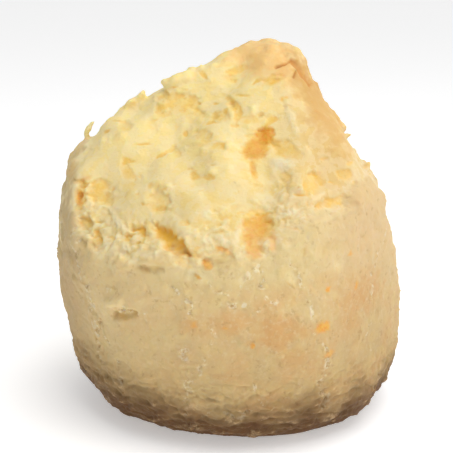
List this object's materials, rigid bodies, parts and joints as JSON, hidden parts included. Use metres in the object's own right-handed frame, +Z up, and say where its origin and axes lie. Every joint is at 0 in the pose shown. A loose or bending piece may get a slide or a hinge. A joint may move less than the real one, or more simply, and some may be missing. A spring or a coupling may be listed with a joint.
{
  "type": "torn baked cheese ball",
  "caption": "Tall round baked cheese bun, torn open at the upper front: pale cracked crust below, open moist crumb sloping up to a peak with a patch of top crust.",
  "frame": {"origin": "middle of the bun's underside, on the surface that it rests on", "axes": "+Z up, the torn face looks towards -Y and up, +X to the right of someone who looks at the torn face"},
  "size_m": [0.0696, 0.0674, 0.0733],
  "materials": {
    "crust": "baked crust, dry and matte, pale beige, with torn cream crumb",
    "crumb": "moist torn crumb, soft satin, cream yellow"
  },
  "bodies": {
    "root": {"bun": "crust"}
  },
  "joints": []
}
